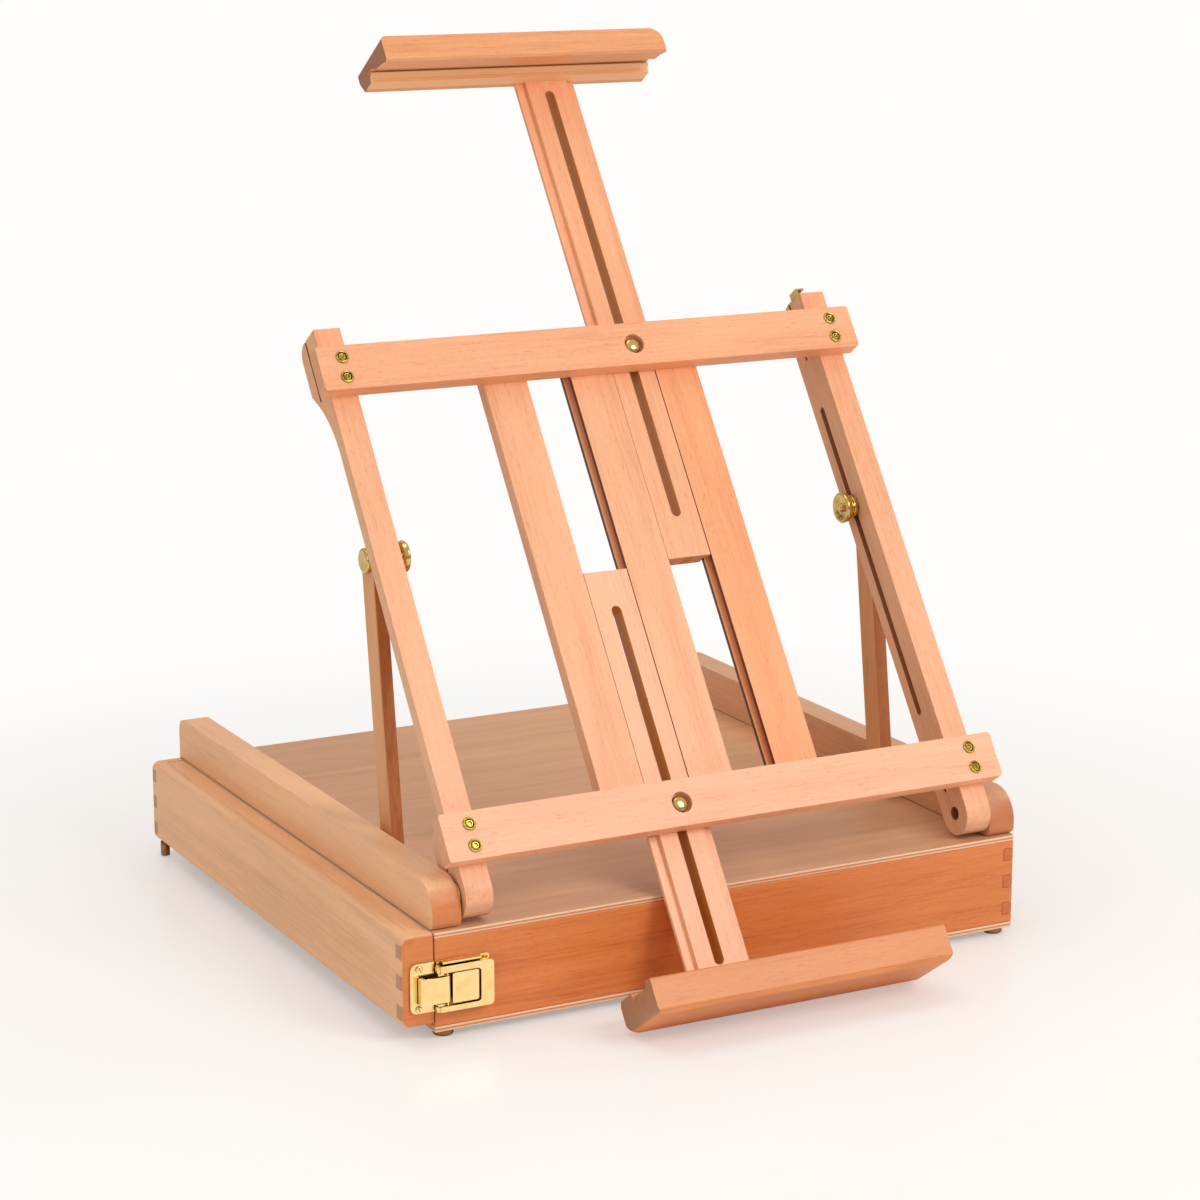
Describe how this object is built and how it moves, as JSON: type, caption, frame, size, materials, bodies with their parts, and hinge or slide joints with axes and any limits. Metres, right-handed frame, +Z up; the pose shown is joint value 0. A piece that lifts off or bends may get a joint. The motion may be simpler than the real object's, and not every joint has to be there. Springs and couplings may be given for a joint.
{
  "type": "box easel",
  "caption": "Table box easel: flat wooden box with a side drawer and catch, and a leaning slatted frame with sliding masts, clamp knobs, folding props, a top holder and a tray.",
  "frame": {"origin": "middle of the whole easel's outline seen from above, at floor level under the feet", "axes": "+X to the right seen from the front, +Y to the back of the box, +Z up; the drawer slides out along -X"},
  "size_m": [0.412, 0.4808, 0.5395],
  "materials": {
    "beech": "light oiled beech, satin",
    "beech_warm": "darker oiled beech, satin",
    "plywood": "beech faced plywood, satin",
    "brass": "polished brass plate",
    "steel": "plain steel"
  },
  "bodies": {
    "root": {"front_board": "beech_warm", "back_board": "beech_warm", "right_board": "beech_warm", "top_panel": "plywood", "bottom_panel": "plywood", "left_rail": "beech", "right_rail": "beech", "drawer_runners": "beech", "feet": "brass", "frame_pivot_pins": "steel", "prop_pivot_screws": "steel", "pivot_spacers": "brass", "catch_base": "brass", "catch_pin": "brass"},
    "drawer": {"drawer_front": "beech", "drawer_returns": "beech", "cap_strip": "beech", "cap_foot": "brass", "drawer_bottom": "plywood", "drawer_sides": "beech", "drawer_end": "beech", "long_dividers": "plywood", "cross_divider": "plywood", "catch_keeper": "brass", "keeper_screws": "brass"},
    "catch_lever": {"catch_lever": "brass", "claw_pin": "brass"},
    "catch_claw": {"catch_claw": "brass"},
    "frame": {"left_stile": "beech", "right_stile": "beech", "lower_crossbar": "beech", "top_crossbar": "beech", "left_slat": "beech", "middle_slat": "beech", "right_slat": "beech", "bar_screws": "brass", "cup_washers": "brass", "slat_screws": "brass", "nut_strips": "steel", "upper_clamp_bolt": "brass", "lower_clamp_bolt": "brass", "clamp_washers": "brass", "frame_keeper": "brass", "frame_keeper_screw": "brass"},
    "upper_mast": {"upper_mast": "beech", "top_holder": "beech_warm", "upper_mast_screws": "brass"},
    "lower_mast": {"lower_mast": "beech", "bottom_tray": "beech_warm", "lower_mast_screws": "brass"},
    "upper_clamp_knob": {"upper_clamp_knob": "brass"},
    "lower_clamp_knob": {"lower_clamp_knob": "brass"},
    "left_prop": {"left_prop": "beech", "left_prop_bolt": "brass"},
    "right_prop": {"right_prop": "beech", "right_prop_bolt": "brass"},
    "left_stud": {"left_stud": "brass"},
    "right_stud": {"right_stud": "brass"},
    "left_knob": {"left_knob": "brass"},
    "right_knob": {"right_knob": "brass"}
  },
  "joints": [
    {"name": "drawer_slide", "type": "slide", "parent": "root", "child": "drawer", "axis": [-1, 0, 0], "range_m": [0, 0.3]},
    {"name": "catch_lever_turn", "type": "hinge", "parent": "root", "child": "catch_lever", "pos_m": [-0.185, -0.16315, 0.031], "axis": [0, 0, -1], "range_deg": [0, 100]},
    {"name": "catch_claw_turn", "type": "hinge", "parent": "catch_lever", "child": "catch_claw", "pos_m": [-0.18, -0.16375, 0.0305], "axis": [0, 0, -1], "range_deg": [-100, 0]},
    {"name": "frame_tilt", "type": "hinge", "parent": "root", "child": "frame", "pos_m": [0.01, -0.14705, 0.079], "axis": [-1, 0, 0], "range_deg": [0, 55]},
    {"name": "left_prop_swing", "type": "hinge", "parent": "root", "child": "left_prop", "pos_m": [-0.16, -0.04805, 0.07575], "axis": [-1, 0, 0], "range_deg": [0, 84]},
    {"name": "right_prop_swing", "type": "hinge", "parent": "root", "child": "right_prop", "pos_m": [0.18, -0.04805, 0.07575], "axis": [-1, 0, 0], "range_deg": [0, 84]},
    {"name": "left_stud_slide", "type": "slide", "parent": "frame", "child": "left_stud", "axis": [0, 0.5736, 0.8192], "range_m": [0, 0.066]},
    {"name": "right_stud_slide", "type": "slide", "parent": "frame", "child": "right_stud", "axis": [0, 0.5736, 0.8192], "range_m": [0, 0.066]},
    {"name": "left_knob_turn", "type": "hinge", "parent": "left_stud", "child": "left_knob", "pos_m": [-0.145, -0.02508, 0.24752], "axis": [1, 0, 0], "continuous": true},
    {"name": "right_knob_turn", "type": "hinge", "parent": "right_stud", "child": "right_knob", "pos_m": [0.165, -0.02508, 0.24752], "axis": [1, 0, 0], "continuous": true},
    {"name": "upper_mast_slide", "type": "slide", "parent": "frame", "child": "upper_mast", "axis": [0, 0.5736, 0.8192], "range_m": [-0.168, 0.105]},
    {"name": "lower_mast_slide", "type": "slide", "parent": "frame", "child": "lower_mast", "axis": [0, 0.5736, 0.8192], "range_m": [-0.12, 0.088]},
    {"name": "upper_clamp_turn", "type": "hinge", "parent": "frame", "child": "upper_clamp_knob", "pos_m": [0.0354, 0.04073, 0.33847], "axis": [0, 0.8192, -0.5736], "continuous": true},
    {"name": "lower_clamp_turn", "type": "hinge", "parent": "frame", "child": "lower_clamp_knob", "pos_m": [-0.0234, -0.12761, 0.09804], "axis": [0, 0.8192, -0.5736], "continuous": true}
  ],
  "couplings": [
    {"joint": "catch_claw_turn", "follows": "catch_lever_turn", "ratio": -1},
    {"joint": "left_prop_swing", "follows": "frame_tilt", "ratio": 1.4979},
    {"joint": "right_prop_swing", "follows": "frame_tilt", "ratio": 1.4979},
    {"joint": "left_stud_slide", "follows": "frame_tilt", "m_per_rad": 0.06698},
    {"joint": "right_stud_slide", "follows": "frame_tilt", "m_per_rad": 0.06698}
  ]
}
